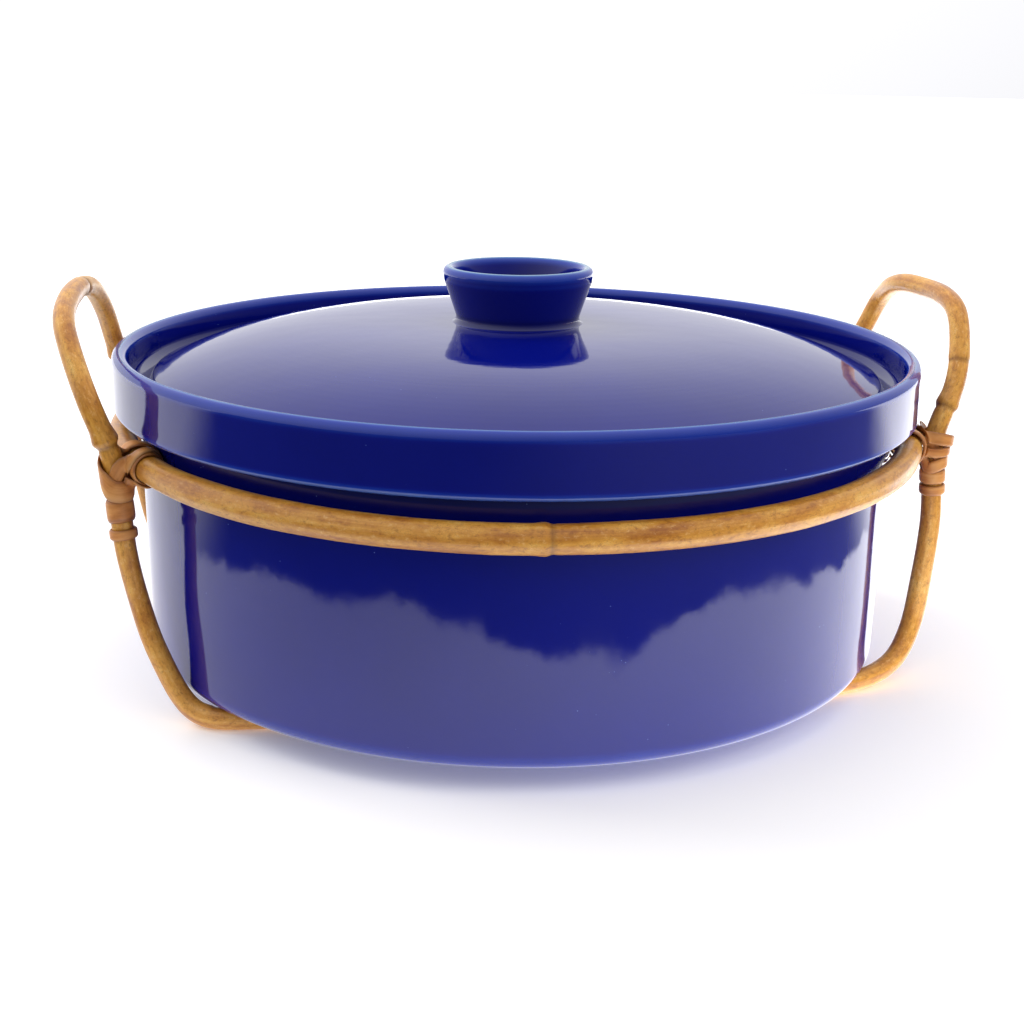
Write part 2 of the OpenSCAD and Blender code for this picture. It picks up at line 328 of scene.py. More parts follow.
def glaze_material():
    n = Nodes("blue_glaze")
    place = n.add("ShaderNodeTexCoord").outputs["Object"]
    clouds = n.noise(place, 28, 4)
    thin = n.attribute("thin")
    pooled = n.maths("ADD", thin, n.maths("MULTIPLY", n.maths("SUBTRACT", clouds, 0.5), 0.22))
    colour = n.ramp(pooled, [
        (0.0, linear(3, 8, 90)), (0.36, linear(5, 16, 122)), (0.62, linear(18, 52, 156)),
        (0.82, linear(60, 106, 172)), (1.0, linear(118, 152, 182))])
    specks = n.add("ShaderNodeTexVoronoi", place, feature="F1")
    specks.inputs["Scale"].default_value = 420
    dots = n.ramp(specks.outputs["Distance"], [(0.0, 1.0), (0.055, 1.0), (0.075, 0.0)])
    few = n.ramp(n.noise(place, 90, 2), [(0.60, 0.0), (0.66, 1.0)])
    colour = n.mix(n.maths("MULTIPLY", dots, few), colour, linear(96, 120, 196))
    peel = n.noise(place, 160, 2)
    waves = n.noise(place, 32, 2)
    normal = n.bump(peel, 0.25, 0.00006)
    normal = n.bump(waves, 0.5, 0.0003, normal)
    roughness = n.ramp(n.noise(place, 60, 4), [(0.3, 0.045), (0.7, 0.085)])
    return n.finish(colour, roughness, normal, IOR=1.52)


def cane_material():
    n = Nodes("peeled_cane")
    grain = n.attribute("grain", "Vector")
    streaks = n.noise(n.scaled(grain, (420, 420, 16)), 1, 5)
    fibres = n.noise(n.scaled(grain, (1700, 1700, 40)), 1, 3)
    blotches = n.noise(n.scaled(grain, (170, 170, 90)), 1, 5, 0.62)
    flecks = n.noise(n.scaled(grain, (760, 760, 480)), 1, 5, 0.75)
    cracks = n.add("ShaderNodeTexVoronoi", n.scaled(grain, (420, 420, 300)),
                   feature="DISTANCE_TO_EDGE")
    tone = n.maths("ADD", n.maths("MULTIPLY", streaks, 0.45), n.maths("MULTIPLY", blotches, 0.55))
    colour = n.ramp(tone, [
        (0.34, linear(162, 94, 25)), (0.46, linear(202, 136, 45)),
        (0.56, linear(225, 163, 64)), (0.68, linear(240, 193, 102))])
    dark = n.ramp(flecks, [(0.52, 0.0), (0.66, 0.6)])
    colour = n.mix(dark, colour, linear(142, 80, 24))
    light = n.ramp(flecks, [(0.32, 0.4), (0.44, 0.0)])
    colour = n.mix(light, colour, linear(246, 208, 140))
    line = n.ramp(cracks.outputs["Distance"], [(0.0, 0.45), (0.05, 0.0)])
    some = n.ramp(blotches, [(0.50, 0.0), (0.60, 1.0)])
    colour = n.mix(n.maths("MULTIPLY", line, some), colour, linear(104, 58, 20))
    colour = n.mix(n.maths("MULTIPLY", n.attribute("pale"), 0.6), colour, linear(214, 176, 132))
    # Dark brown by the ring attribute: growth rings and seams, and also painted shade and painted
    # shadow from marks.
    colour = n.mix(n.maths("MULTIPLY", n.attribute("ring"), 0.75), colour, linear(84, 44, 20))
    height = n.maths("ADD", n.maths("MULTIPLY", fibres, 0.4), n.maths("MULTIPLY", flecks, 0.6))
    normal = n.bump(height, 0.45, 0.00025)
    roughness = n.ramp(blotches, [(0.35, 0.30), (0.65, 0.48)])
    return n.finish(colour, roughness, normal, Coat_Weight=0.25, Coat_Roughness=0.22)


def binding_material():
    n = Nodes("cane_binding")
    grain = n.attribute("grain", "Vector")
    streaks = n.noise(n.scaled(grain, (700, 700, 30)), 1, 4)
    fibres = n.noise(n.scaled(grain, (2600, 2600, 50)), 1, 2)
    blotches = n.noise(n.scaled(grain, (220, 220, 120)), 1, 4)
    tone = n.maths("ADD", n.maths("MULTIPLY", streaks, 0.35), n.maths("MULTIPLY", blotches, 0.65))
    colour = n.ramp(tone, [
        (0.34, linear(158, 94, 38)), (0.46, linear(196, 126, 60)),
        (0.56, linear(212, 146, 76)), (0.70, linear(226, 170, 106))])
    colour = n.mix(n.maths("MULTIPLY", n.attribute("edge"), 0.5), colour, linear(92, 46, 20))
    normal = n.bump(fibres, 0.35, 0.00012)
    roughness = n.ramp(blotches, [(0.35, 0.36), (0.65, 0.54)])
    return n.finish(colour, roughness, normal, Coat_Weight=0.15, Coat_Roughness=0.3)


def dowel_material():
    n = Nodes("dark_dowel")
    place = n.add("ShaderNodeTexCoord").outputs["Object"]
    grain = n.noise(n.scaled(place, (260, 900, 900)), 1, 5)
    colour = n.ramp(grain, [(0.35, linear(62, 32, 20)), (0.65, linear(110, 66, 38))])
    return n.finish(colour, 0.6, n.bump(grain, 0.4, 0.0003))


def brad_material():
    n = Nodes("steel_brad")
    place = n.add("ShaderNodeTexCoord").outputs["Object"]
    wear = n.noise(place, 900, 4)
    colour = n.ramp(wear, [(0.35, linear(120, 118, 114)), (0.65, linear(176, 176, 176))])
    roughness = n.ramp(wear, [(0.3, 0.28), (0.7, 0.5)])
    return n.finish(colour, roughness, n.bump(wear, 0.3, 0.0001), Metallic=1.0)


def floor_material():
    """Pale paper that glows as painted light, brighter on the right and glowing softly far behind.

    Light that bounces off the pot meets painted shade past the paper's uneven edge in front, a dim
    room brighter on the right, so that the glaze stays deep blue high on the body; seen directly,
    the floor is pale all over.
    """
    n = Nodes("pale_floor")
    place = n.add("ShaderNodeTexCoord").outputs["Object"]
    split = n.add("ShaderNodeSeparateXYZ", place)
    across, back = split.outputs[0], split.outputs[1]
    grain = n.noise(place, 400, 2)
    seen = n.add("ShaderNodeLightPath").outputs["Is Camera Ray"]
    reach = n.add("ShaderNodeVectorMath", place, operation="LENGTH").outputs["Value"]
    uneven = n.maths("MULTIPLY", n.noise(place, 11, 4), 0.11)
    middle = n.add("ShaderNodeMapRange", n.maths("ABSOLUTE", across), 0.02, 0.12, 0.04, 0,
                   interpolation_type="SMOOTHSTEP").outputs[0]
    edge = n.maths("ADD", n.maths("ADD", reach, uneven), middle)
    past = n.add("ShaderNodeMapRange", edge, 0.308, 0.322, 0, 1,
                 interpolation_type="SMOOTHSTEP").outputs[0]
    front = n.add("ShaderNodeMapRange", back, 0.1, -0.04, 0, 1,
                  interpolation_type="SMOOTHSTEP").outputs[0]
    right = n.add("ShaderNodeMapRange", across, -0.22, 0.22, 0, 1,
                  interpolation_type="SMOOTHSTEP").outputs[0]
    far = n.add("ShaderNodeMapRange", back, 0.2, 4.0, 0, 1, interpolation_type="SMOOTHSTEP")
    hidden = n.maths("SUBTRACT", 1.0, seen)
    dim = n.maths("MULTIPLY", n.maths("MULTIPLY", past, front), hidden)
    # Painted shade past the edge, seen only in bounced light, lighter towards the right.
    painted_room_shade = n.mix(right, linear(52, 58, 70), linear(124, 128, 140))
    colour = n.mix(dim, linear(246, 246, 246), painted_room_shade)
    lit = n.maths("MULTIPLY_ADD", n.maths("MULTIPLY", right, hidden), 1.6)
    lit.node.inputs[2].default_value = 0.15
    # The floor's glow is painted light: soft far behind, and stronger on the right for bounced
    # light.
    glow = n.maths("MULTIPLY_ADD", far.outputs[0], 0.6)
    n.put(glow.node.inputs[2], n.maths("MULTIPLY", lit, n.maths("SUBTRACT", 1.0, dim)))
    n.put(n.shader.inputs["Emission Strength"], glow)
    return n.finish(colour, 0.9, n.bump(grain, 0.05, 0.0002),
                    Emission_Color=(1, 1, 1, 1))


GLAZE = glaze_material()
CANE = cane_material()
BINDING = binding_material()

# ---------------------------------------------------------------- glazed pieces


def rounded(corners, step=0.7):
    """A profile through corners (r, z, fillet), each corner rounded, with points a step apart."""
    out = []
    c = np.array([p[:2] for p in corners], float)
    for i, (r, z, fillet) in enumerate(corners):
        here = c[i]
        if fillet == 0 or i in (0, len(c) - 1):
            out.append(here)
            continue
        a, b = c[i - 1] - here, c[i + 1] - here
        a, b = a / np.linalg.norm(a), b / np.linalg.norm(b)
        half = math.acos(max(-1, min(1, float(a @ b)))) / 2
        reach = fillet / math.tan(half)
        middle = here + (a + b) / np.linalg.norm(a + b) * fillet / math.sin(half)
        start, end = here + a * reach - middle, here + b * reach - middle
        n = max(4, int(fillet * (math.pi - 2 * half) / 0.35))
        for t in np.arange(n + 1) / n:
            spoke = start * (1 - t) + end * t
            out.append(middle + spoke / np.linalg.norm(spoke) * fillet)
    points = [out[0]]
    for p in out[1:]:
        gap = np.linalg.norm(p - points[-1])
        if gap < 1e-6:
            continue
        pieces = max(1, int(gap / step))
        start = points[-1]
        points += [start + (p - start) * k / pieces for k in range(1, pieces + 1)]
    return np.array(points)


def thinness(profile):
    """How thin the glaze lies along a profile: it runs off sharp edges and pools in corners."""
    d = np.gradient(profile, axis=0)
    heading = np.unwrap(np.arctan2(d[:, 1], d[:, 0]))
    s = np.concatenate([[0], np.cumsum(np.linalg.norm(np.diff(profile, axis=0), axis=1))])
    turn = np.gradient(heading, s)
    even = np.arange(0, s[-1], 0.2)
    kernel = np.exp(-(np.arange(-20, 21) * 0.2 / 0.8) ** 2)
    soft = np.convolve(np.interp(even, s, turn), kernel / kernel.sum(), "same")
    return np.interp(s, even, soft)


def lathe(name, corners, node, body, wobble, segments=384):
    """A glazed piece turned from a profile, a little out of round as a hand-made one is."""
    profile = rounded(corners)
    bend = thinness(profile)
    thin = np.clip(0.28 + bend * 0.75, 0, 1)
    angles = TAU * np.arange(segments) / segments
    x, y = np.cos(angles)[None, :], np.sin(angles)[None, :]
    off_axis = profile[:, 0] > 1e-6
    r, z = profile[off_axis, 0][:, None], profile[off_axis, 1][:, None]
    swell = wobble * soft_noise(1.6 * x, 1.6 * y, z / 45)
    rise = 0.5 * wobble * soft_noise(1.3 * x, 1.3 * y, r / 60 + 7)
    rows = len(r)
    points = np.stack([(r + swell) * x, (r + swell) * y, z + rise], axis=-1).reshape(-1, 3)
    faces = grid_faces(rows, segments)
    for first, row, order in ((profile[0], 0, -1), (profile[-1], rows - 1, 1)):
        ring = [row * segments + k for k in range(segments)]
        faces += [(ring[k], ring[(k + 1) % segments], len(points))[::order]
                  for k in range(segments)]
        points = np.vstack([points, (0, 0, first[1])])
    shade = np.concatenate([np.repeat(thin[off_axis], segments), thin[[0, -1]]])
    piece = mesh_object(name, points, faces, {"thin": shade}, GLAZE, body)
    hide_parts(node)
    return piece


def dome_z(r):
    return DOME_EDGE_Z + DOME_H * (1 - (r / DOME_R) ** 4)


def glazed_pieces():
    rim_round = 2.6
    lathe("glazed_pot", [
        (0, FOOT_Z + 1.5, 0), (104, FOOT_Z + 1.5, 0.8), (106, FOOT_Z, 0.8),
        (BODY_FOOT_R, FOOT_Z, 4.8), (BODY_TOP_R, BAND_Z, 1.0), (BAND_R, BAND_Z, 1.6),
        (BAND_R, RIM_Z, rim_round), (BAND_R - 5.3, RIM_Z, rim_round), (GALLERY_R, LEDGE_Z, 5.5),
        (BODY_TOP_R - WALL, LEDGE_Z, 1.2), (BODY_FOOT_R - WALL, FOOT_Z + 7, 10),
        (0, FOOT_Z + 7, 0)], "pot", "pot", 0.25)
    edge_r = 121.4
    under = 5.5
    dome = [(r, dome_z(r), 0) for r in np.linspace(0, edge_r - 2, 40)]
    lathe("glazed_lid", dome + [
        (edge_r + 0.6, dome_z(edge_r), 1.0), (LID_R, LID_Z + 1.6, 1.6), (LID_R - 1.5, LID_Z, 1.0),
        (119.3, LID_Z, 0.6), (119, LID_Z - 6, 1), (114.5, LID_Z - 6, 1),
        (113.5, dome_z(113.5) - under, 1.5)]
        + [(r, dome_z(r) - under, 0) for r in np.linspace(112, 0, 30)],
        "lid", "lid", 0.12)
    waist = 20
    lip = 2.15
    lathe("glazed_knob", [
        (0, KNOB_Z - 0.3, 0), (waist + 3.3, KNOB_Z - 0.25, 0), (waist + 0.3, KNOB_Z + 0.05, 2.2),
        (KNOB_R - 0.9, KNOB_TOP_Z - 4.6, 3), (KNOB_R, KNOB_TOP_Z, lip),
        (KNOB_R - 4.4, KNOB_TOP_Z, lip), (KNOB_R - 5.6, KNOB_TOP_Z - 7, 3),
        (waist - 4, KNOB_Z + 3.2, 4.5), (0, KNOB_Z + 3.2, 0)],
        "lid_knob", "lid", 0.08, segments=192)


# ---------------------------------------------------------------- canes


def knuckle(x, height=0.5):
    """The swelling of a cane at a joint of its growth, x along from its ridge."""
    swell = height * np.exp(-(x / 2.6) ** 2) * (x < 0) + height * np.exp(-(x / 0.9) ** 2) * (x >= 0)
    groove = -0.45 * height * np.exp(-((x - 1.9) / 0.7) ** 2)
    narrow = -0.35 * height * np.exp(-np.abs(x) / 14) * (x > 1.9)
    return swell + groove + narrow


def cane(name, path, start, radius, knuckles, seed, nodes, pale_ends=(0, 0), marks=(),
         sides=40, step=0.8):
    """A round cane along a path, with growth joints, slight lumps and grain coordinates.

    A mark is (place along, reach, direction it faces or None, depth, darkness).
    """
    p = resample(path, step)
    s = lengths(p)
    t = tangents(p)
    u = carried_sides(p, start)
    v = np.cross(t, u)
    angle = TAU * np.arange(sides) / sides
    r = np.full((len(p), sides), radius - 0.08)
    ring = np.zeros((len(p), sides))
    spokes = (np.cos(angle)[None, :, None] * u[:, None, :]
              + np.sin(angle)[None, :, None] * v[:, None, :])
    for at, height, way in knuckles:
        x = (s - at) * way
        r += knuckle(x, height)[:, None]
        ring += 0.7 * np.exp(-((x - 1.6) / 0.8) ** 2)[:, None]
    x, y, along = np.cos(angle)[None, :], np.sin(angle)[None, :], s[:, None]
    r += 0.13 * soft_noise(along / 38, seed)
    r += 0.10 * soft_noise(1.3 * x, 1.3 * y, along / 22 + seed)
    r += 0.035 * soft_noise(4 * x, 4 * y, along / 30 - seed)
    # A mark's darkness goes into the ring attribute; on some marks this is painted shade or painted
    # shadow.
    for at, reach, faces_to, depth, darkness in marks:
        amount = np.exp(-((s - at) / reach) ** 2)[:, None]
        if faces_to is not None:
            amount = amount * np.clip(spokes @ np.array(faces_to, float), 0, 1) ** 1.5
        r -= depth * amount
        ring += darkness * amount
    points = (p[:, None, :] + r[:, :, None] * spokes).reshape(-1, 3)
    points[:, 2] = np.maximum(points[:, 2], 0)
    grain = np.stack([
        np.broadcast_to(radius * np.cos(angle), r.shape),
        np.broadcast_to(radius * np.sin(angle), r.shape),
        np.broadcast_to((s + 100 * seed)[:, None], r.shape)], axis=-1).reshape(-1, 3) * MM
    pale = np.zeros(len(p))
    for length, from_end in zip(pale_ends, (s, s[-1] - s)):
        if length:
            pale += np.clip(1 - from_end / length, 0, 1) ** 0.5
    faces = grid_faces(len(p), sides)
    faces.append(tuple(range(sides))[::-1])
    faces.append(tuple((len(p) - 1) * sides + k for k in range(sides)))
    piece = mesh_object(name, points, faces, {
        "grain": grain, "ring": np.clip(ring, 0, 1).ravel(),
        "pale": np.repeat(np.clip(pale, 0, 1), sides)}, CANE, "carrier")
    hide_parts(*nodes)
    return piece


def hoop_point(angle, r=HOOP_R, z=0.0):
    """A point of the hoop's tilted ring."""
    x, y = r * math.cos(angle), r * math.sin(angle)
    return (x, y * math.cos(HOOP_TILT) - z * math.sin(HOOP_TILT),
            HOOP_Z + y * math.sin(HOOP_TILT) + z * math.cos(HOOP_TILT))


def canes():
    left_back, left_front = HALVES["left", 1], HALVES["left", -1]
    front_path = np.vstack([left_back[SPLICE_STEP::-1], left_front[1:]])
    back_path = left_back[SPLICE_STEP:]
    right_path = np.vstack([HALVES["right", -1][::-1], HALVES["right", 1][1:]])
    above = {  # growth joints, as distances above the crossing along each leg
        "left_front": 9, "left_back": 16, "right_front": 13.5, "right_back": 12}
    s = lengths(front_path)
    at = s[SPLICE_STEP + CROSSING_STEP]
    fold = s[SPLICE_STEP + CROSSING_STEP + 4 * STEPS]
    seam = (0, 0.8, None, 0.5, 1.0)
    plug_shadow = (4, 5.5, (0.4, -0.2, -1), 0.25, 1.0)
    painted_shade_leg = (at + 70, 45, None, 0, 0.2)        # painted shade: a darker stretch of the left front leg, where the light falls less
    cane("bent_cane_left_front", front_path, (1, 0, 0.3), LEG_CANE_R,
         [(at - above["left_front"], 0.7, 1)], 1.3, ["cane_left_front"], (4, 0),
         [seam, plug_shadow, painted_shade_leg, (fold, 1.3, (0.9, 0, 0.45), 0.9, 0.9),
          (fold, 6, (-0.9, 0, -0.45), -0.3, 0)])
    at = lengths(back_path)[CROSSING_STEP - SPLICE_STEP]
    cane("bent_cane_left_back", back_path, (1, 0, 0.3), LEG_CANE_R,
         [(at - above["left_back"], 0.6, 1)], 2.7, ["cane_left_back"], (7, 0), [seam])
    s = lengths(right_path)
    front_at = s[len(HALVES["right", -1]) - 1 - CROSSING_STEP]
    back_at = s[len(HALVES["right", -1]) - 1 + CROSSING_STEP]
    cane("bent_cane_right", right_path, (0, 1, 0.3), LEG_CANE_R,
         [(front_at + above["right_front"], 0.45, -1), (front_at + 31, 0.15, -1),
          (back_at - above["right_back"], 0.6, 1)], 4.1, ["cane_right"])
    seam_gap = math.radians(0.1)
    around = np.linspace(HOOP_SEAM + seam_gap, HOOP_SEAM + TAU - seam_gap, 400)
    ring = np.array([hoop_point(a) for a in around])
    ring_joint = math.radians(-97 + 360) - HOOP_SEAM
    other_joint = math.radians(150) - HOOP_SEAM
    # Painted shade: a wide, faint darkening of the hoop's left front, where the light falls less.
    hoop_painted_shade = math.radians(-142 + 360) - HOOP_SEAM
    cane("hoop_cane", ring, (0, 0, 1), HOOP_CANE_R,
         [(ring_joint * HOOP_R, 0.35, 1), (other_joint * HOOP_R, 0.4, 1)], 7.9, ["hoop"], (4, 4),
         [(hoop_painted_shade * HOOP_R, 70, None, 0, 0.25)])


# ---------------------------------------------------------------- bindings


class Crossing:
    """The two canes that cross at one corner, as a surface that flat strips are laid on."""

    def __init__(self, side_name, fb):
        side = SIDES[side_name]
        self.sign = side["sign"]
        self.fb = fb
        half = HALVES[side_name, fb]
        near = half[CROSSING_STEP - 2 * STEPS:CROSSING_STEP + 1]
        foot = np.array(on_leg(side, fb, 30)) * (self.sign, fb, 1)
        self.leg = resample(np.vstack([near, [foot]]), 1.0)
        self.centre = half[CROSSING_STEP]
        self.azimuth = math.atan2(self.centre[1], self.centre[0])
        spread = np.radians(np.arange(-9, 9.01, 0.5))
        self.hoop = np.array([hoop_point(self.azimuth + a) for a in spread])
        self.out = np.array([math.cos(self.azimuth), math.sin(self.azimuth), 0])
        self.inwards = np.array([0, -fb, 0])          # along the hoop, under the handle
        self.right = np.cross([0, 0, 1], self.out)    # along the hoop, to the right from outside
        self.laid_points = []
        self.laid_tops = []

    @staticmethod
    def distance(p, line):
        a, b = line[:-1], line[1:]
        d = b - a
        t = np.einsum("nmk,mk->nm", p[:, None] - a[None], d) / np.einsum("mk,mk->m", d, d)
        near = a[None] + np.clip(t, 0, 1)[:, :, None] * d[None]
        return np.linalg.norm(p[:, None] - near, axis=2).min(axis=1)

    def height(self, p, parts="both"):
        """How far points are off the canes; the blend bridges the corner between them."""
        leg = self.distance(p, self.leg) - LEG_CANE_R
        hoop = self.distance(p, self.hoop) - HOOP_CANE_R
        if parts == "leg":
            return leg
        if parts == "hoop":
            return hoop
        k = 2.2
        h = np.clip(0.5 + 0.5 * (hoop - leg) / k, 0, 1)
        return hoop * (1 - h) + leg * h - k * h * (1 - h)

    def settle(self, p, target, parts="both"):
        """Moves points straight off or on to the surface until they are at the target height."""
        e = 0.02
        for _ in range(6):
            f = self.height(p, parts)
            g = np.column_stack([
                (self.height(p + step, parts) - self.height(p - step, parts)) / (2 * e)
                for step in np.eye(3) * e])
            g /= np.maximum(np.linalg.norm(g, axis=1), 1e-6)[:, None]
            p = p + (target - f)[:, None] * g
        return p, g

    def at(self, out, right, up):
        """A point by its place from outside: out from between the canes, right and up."""
        middle = self.centre - self.out * (LEG_CANE_R + 0.07)
        return middle + out * self.out + right * self.right + up * np.array([0, 0, 1])

    def strip(self, line, width, thick, seed, parts="both", closed=True):
        """Points, faces and attributes of a flat strip wound along a line of points."""
        line = np.array(line, float)
        if closed:
            count = max(60, int(lengths(np.vstack([line, line[:1]]))[-1] / 0.55))
            loop = np.vstack([line[-1:], line, line[:2]])
            fine = curve(loop, 14)[:-1]
            s = lengths(np.vstack([fine, fine[:1]]))
            even = np.arange(count) / count * s[-1]
            ring = np.vstack([fine, fine[:1]])
            path = np.column_stack([np.interp(even, s, ring[:, k]) for k in range(3)])
        else:
            fine = curve(np.vstack([2 * line[0] - line[1], line, 2 * line[-1] - line[-2]]), 14)
            path = resample(fine, 0.55)
            count = len(path)
        path, normal = self.settle(path, np.zeros(count), parts)
        way = tangents(path, closed)
        for _ in range(4):
            if closed:
                way = way + np.roll(way, 1, 0) + np.roll(way, -1, 0)
            way = way / np.linalg.norm(way, axis=1)[:, None]
        across = np.cross(way, normal)
        across /= np.linalg.norm(across, axis=1)[:, None]
        u = np.linspace(-1, 1, 9)
        wide = 1 + 0.06 * soft_noise(np.arange(count) * 0.035, seed)
        spread = path[:, None] + across[:, None] * (u[None, :, None] * width / 2
                                                    * wide[:, None, None])
        flat, _ = self.settle(spread.reshape(-1, 3), np.zeros(count * 9), parts)
        under = self.laid_height(flat).reshape(count, 9).max(axis=1)
        under = self.eased(under, closed)
        crown = thick * (1 - 0.55 * np.abs(u) ** 6)
        top, _ = self.settle(spread.reshape(-1, 3), (under[:, None] + crown).ravel(), parts)
        low = np.repeat(under, 9) + 0.02
        bottom, _ = self.settle(spread.reshape(-1, 3), low, parts)
        self.laid_points.append(flat)
        self.laid_tops.append(np.repeat(under + thick, 9))
        top, bottom = top.reshape(count, 9, 3), bottom.reshape(count, 9, 3)
        rings = np.concatenate([top, bottom[:, ::-4]], axis=1)
        columns = rings.shape[1]
        s = lengths(path)
        edge = np.concatenate([np.abs(u) ** 5, [1, 1, 1]])
        place = np.concatenate([u, [1, 0, -1]]) * width / 2
        grain = np.stack([np.broadcast_to(place, (count, columns)),
                          np.full((count, columns), seed * 10.0),
                          np.broadcast_to((s + 60 * seed)[:, None], (count, columns))],
                         axis=-1).reshape(-1, 3) * MM
        faces = grid_faces(count, columns, closed_rows=closed)
        if not closed:
            faces.append(tuple(range(columns))[::-1])
            faces.append(tuple((count - 1) * columns + k for k in range(columns)))
        return rings.reshape(-1, 3), faces, grain, np.tile(edge, count)

    def laid_height(self, p):
        """The top of the strips already laid under each point, or 0."""
        if not self.laid_points:
            return np.zeros(len(p))
        points, tops = np.vstack(self.laid_points), np.concatenate(self.laid_tops)
        tree = KDTree(len(points))
        for i, q in enumerate(points):
            tree.insert(q, i)
        tree.balance()
        out = np.zeros(len(p))
        for i, q in enumerate(p):
            near = tree.find_range(q, 0.75)
            out[i] = max((tops[j] for _, j, _ in near), default=0)
        return out

    @staticmethod
    def eased(h, closed):
        """Heights along a strip, eased so that it rises before it crosses another."""
        mode = "wrap" if closed else "edge"
        reach = 3
        wide = np.pad(h, reach, mode=mode)
        h = np.array([wide[i:i + 2 * reach + 1].max() for i in range(len(h))])
        for _ in range(2):
            wide = np.pad(h, reach, mode=mode)
            h = np.convolve(wide, np.ones(2 * reach + 1) / (2 * reach + 1), "valid")
        return h


def loop_on_leg(crossing, drop, tilt=0.0, turns=12):
    """A ring of points round the leg, some way below its crossing."""
    s = lengths(crossing.leg)
    centre_s = s[np.argmin(np.linalg.norm(crossing.leg - crossing.centre, axis=1))]
    c = np.array([np.interp(centre_s + drop, s, crossing.leg[:, k]) for k in range(3)])
    c2 = np.array([np.interp(centre_s + drop + 1, s, crossing.leg[:, k]) for k in range(3)])
    w = (c2 - c) / np.linalg.norm(c2 - c)
    a = crossing.out - (crossing.out @ w) * w
    a /= np.linalg.norm(a)
    b = np.cross(w, a)
    out = []
    for k in range(turns):
        t = TAU * k / turns
        out.append(c + (LEG_CANE_R + 1) * (math.cos(t) * a + math.sin(t) * b)
                   + w * tilt * math.sin(t))
    return out


def loop_on_hoop(crossing, right, tilt=0.0, skew=0.0, turns=12):
    """A ring of points round the hoop, some way to the right of the leg as seen from outside.

    Its top is shifted along the hoop by tilt and its outer side by skew.
    """
    out = []
    a0 = crossing.azimuth + right / HOOP_R
    for k in range(turns):
        t = TAU * k / turns
        r = HOOP_R + (HOOP_CANE_R + 1) * math.cos(t)
        shift = (tilt * math.sin(t) + skew * math.cos(t)) / HOOP_R
        out.append(hoop_point(a0 + shift, r, (HOOP_CANE_R + 1) * math.sin(t)))
    return out


def diagonal(crossing, lean, low, rise=3.2):
    """A loop that crosses the leg's outer face on a slant and passes behind the hoop.

    Its middle is low below the hoop's centre line, and it falls by rise towards the lean.
    """
    return [crossing.at(8, 0, -low), crossing.at(6, 3.4 * lean, -low - rise),
            crossing.at(1.5, 4.9 * lean, -5.8 - 0.4 * low), crossing.at(-4, 4.6 * lean, -6),
            crossing.at(-10.2, 1.5 * lean, -1), crossing.at(-10.2, -1.5 * lean, 1),
            crossing.at(-4.5, -4.6 * lean, 6), crossing.at(1.5, -4.9 * lean, 4.6 - 0.4 * low),
            crossing.at(6, -3.4 * lean, rise - low)]


def strips_object(name, parts, nodes):
    points, faces, grain, edge = [], [], [], []
    for p, f, g, e in parts:
        base = sum(len(q) for q in points)
        points.append(p)
        faces += [tuple(base + i for i in face) for face in f]
        grain.append(g)
        edge.append(e)
    piece = mesh_object(name, np.vstack(points), faces, {
        "grain": np.vstack(grain), "edge": np.concatenate(edge)}, BINDING, "carrier")
    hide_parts(*nodes)
    return piece


def bindings():
    for number, (side_name, fb) in enumerate(HALVES):
        crossing = Crossing(side_name, fb)
        where = f"{'front' if fb < 0 else 'back'}_{side_name}"
        seed = 0.7 + number
        inner = 1 if crossing.inwards @ crossing.right > 0 else -1
        outer_side = -inner
        if side_name == "left":
            laid = [
                crossing.strip(loop_on_hoop(crossing, 5.6 * inner, 0.4), 4.2, 0.7,
                               seed + 0.2, "hoop"),
                crossing.strip(loop_on_hoop(crossing, 5.4 * outer_side, 0.3), 4.4, 0.7,
                               seed + 0.1, "hoop"),
                crossing.strip(diagonal(crossing, -outer_side, 5.4, 1.0), 5.2, 0.7, seed + 0.3),
                crossing.strip(diagonal(crossing, outer_side, 2.6, 3.6), 6.4, 0.75, seed + 0.5),
            ]
        else:
            laid = [
                crossing.strip(loop_on_hoop(crossing, 5.4 * inner, 0.4), 3.8, 0.7,
                               seed + 0.2, "hoop"),
                crossing.strip(diagonal(crossing, -outer_side, 5.8, 1.6), 4.2, 0.7, seed + 0.3),
                crossing.strip(diagonal(crossing, outer_side, 5.2, 1.0), 4.2, 0.7, seed + 0.4),
                crossing.strip(loop_on_leg(crossing, 1.6, 0.9), 3.0, 0.65, seed + 0.6),
                crossing.strip(loop_on_leg(crossing, -1.9, 0.4), 3.8, 0.7, seed + 0.7),
                crossing.strip(loop_on_hoop(crossing, 7.4 * outer_side, 0.5,
                                            2.2 * outer_side), 4.2, 0.8, seed + 0.1, "hoop"),
            ]
        strips_object(f"binding_{where}", laid, [f"lashing_{where}"])
        for kind, (drop, height) in (("wide", WIDE_COLLAR[side_name]),
                                     ("narrow", NARROW_COLLAR[side_name])):
            crossing.laid_points, crossing.laid_tops = [], []
            ring = crossing.strip(loop_on_leg(crossing, drop, 0.25), height, 0.8,
                                  seed + 0.8 + 0.01 * drop, "leg")
            strips_object(f"collar_{kind}_{where}", [ring], [f"{kind}_collar_{where}"])


# ---------------------------------------------------------------- hidden fastenings


def fastenings():
    dowel, brad = dowel_material(), brad_material()
    for node in ("hoop_splice_dowel", "handle_splice_dowel", "runner_splice_dowels"):
        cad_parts[node].data.materials.clear()
        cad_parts[node].data.materials.append(dowel)
    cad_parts["joint_brads"].data.materials.clear()
    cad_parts["joint_brads"].data.materials.append(brad)


# ---------------------------------------------------------------- camera, light and floor


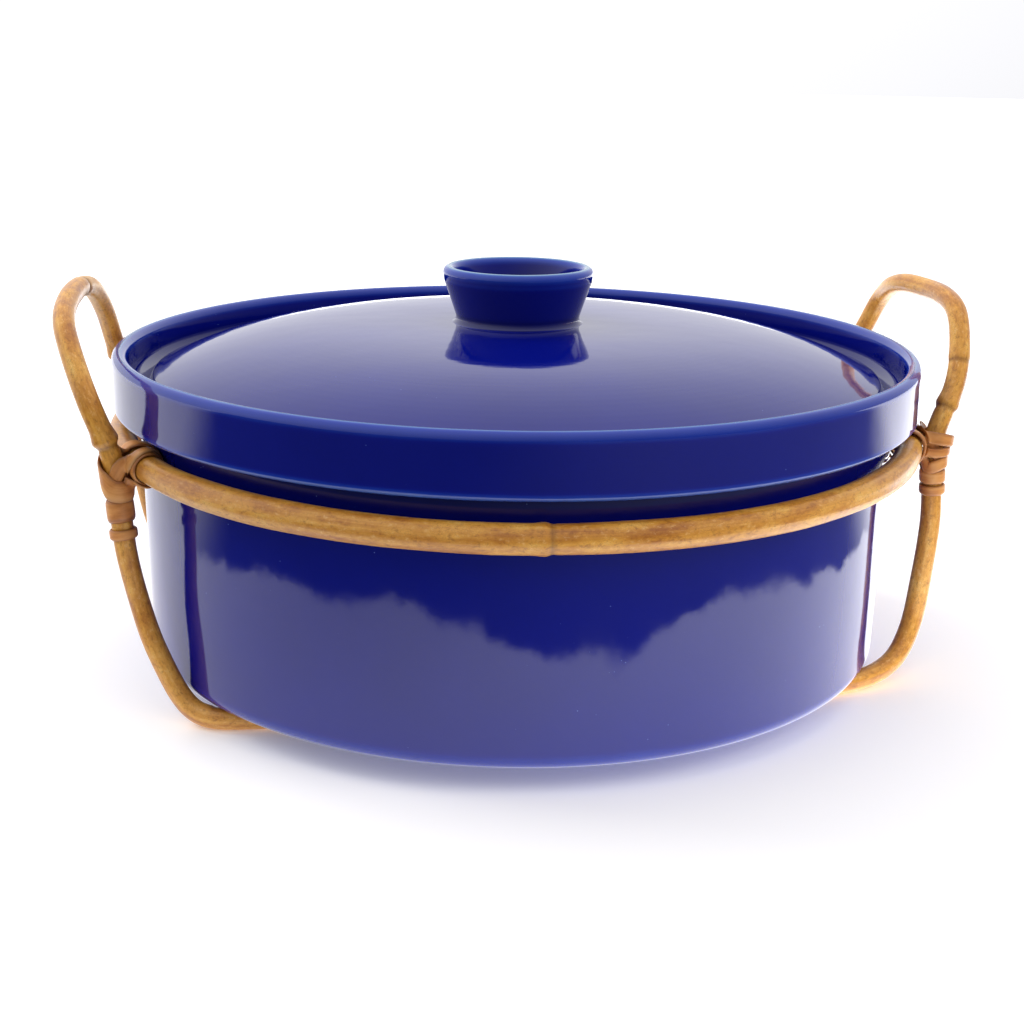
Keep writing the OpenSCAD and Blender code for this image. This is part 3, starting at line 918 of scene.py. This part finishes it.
def camera():
    heading, pitch, roll = math.radians(10.38), 0.28647, 0.01588
    data = bpy.data.cameras.new("view")
    data.lens = 54.67
    data.sensor_width = 36
    data.clip_end = 50
    eye = bpy.data.objects.new("view", data)
    eye.matrix_world = (Matrix.Translation((-0.0958, -0.5181, 0.2027))
                        @ Matrix.Rotation(-heading, 4, "Z")
                        @ Matrix.Rotation(math.pi / 2 - pitch, 4, "X")
                        @ Matrix.Rotation(roll, 4, "Z"))
    bpy.context.scene.collection.objects.link(eye)
    bpy.context.scene.camera = eye


def area_light(name, place, aim, width, depth, power, colour=(1, 1, 1), glossy=False):
    data = bpy.data.lights.new(name, "AREA")
    data.shape = "RECTANGLE"
    data.size, data.size_y = width, depth
    data.energy = power
    data.color = colour
    lamp = bpy.data.objects.new(name, data)
    lamp.location = place
    lamp.rotation_euler = (Vector(aim) - Vector(place)).to_track_quat("-Z", "Y").to_euler()
    lamp.visible_camera = False
    lamp.visible_glossy = glossy
    bpy.context.scene.collection.objects.link(lamp)


def studio_world():
    """A soft surround, bright overhead and behind on the left, and dim on the camera's side."""
    world = bpy.data.worlds.new("studio")
    world.use_nodes = True
    nodes, links = world.node_tree.nodes, world.node_tree.links
    direction = nodes.new("ShaderNodeTexCoord").outputs["Generated"]
    along = nodes.new("ShaderNodeVectorMath")
    along.operation = "DOT_PRODUCT"
    along.inputs[1].default_value = Vector((-0.30, 0.62, 0.72)).normalized()
    links.new(direction, along.inputs[0])
    ramp = nodes.new("ShaderNodeValToRGB")
    elements = ramp.color_ramp.elements
    elements.new(0.5)
    for element, place, grey in zip(elements, (0.18, 0.52, 0.80), (0.16, 0.62, 1.0)):
        element.position = place
        element.color = (grey, grey, grey * 1.03, 1)
    half = nodes.new("ShaderNodeMath")
    half.operation = "MULTIPLY_ADD"
    half.inputs[1].default_value = half.inputs[2].default_value = 0.5
    links.new(along.outputs["Value"], half.inputs[0])
    links.new(half.outputs[0], ramp.inputs[0])
    background = nodes["Background"]
    links.new(ramp.outputs[0], background.inputs["Color"])
    background.inputs["Strength"].default_value = 1.1
    bpy.context.scene.world = world


def studio():
    studio_world()
    area_light("window", (-1.3, 1.0, 1.1), (0, 0, 0.1), 1.4, 1.2, 22, (1.0, 0.98, 0.95))
    area_light("side", (1.1, -0.75, 0.8), (0, 0, 0.08), 0.9, 0.9, 9, (1.0, 0.97, 0.93))
    rings, spokes = 12, 64
    points = [(0, 0, 0)]
    for i in range(1, rings + 1):
        r = FLOOR_SIZE * (i / rings) ** 2
        points += [(r * math.cos(TAU * k / spokes), r * math.sin(TAU * k / spokes), 0)
                   for k in range(spokes)]
    faces = [(0, 1 + k, 1 + (k + 1) % spokes) for k in range(spokes)]
    faces += grid_faces(rings, spokes, first=1)
    mesh = bpy.data.meshes.new("floor")
    mesh.from_pydata(points, [], faces)
    mesh.materials.append(floor_material())
    floor = bpy.data.objects.new("floor", mesh)
    bpy.context.scene.collection.objects.link(floor)
    bpy.context.scene.view_settings.view_transform = "Standard"


camera()
studio()
glazed_pieces()
canes()
bindings()
fastenings()
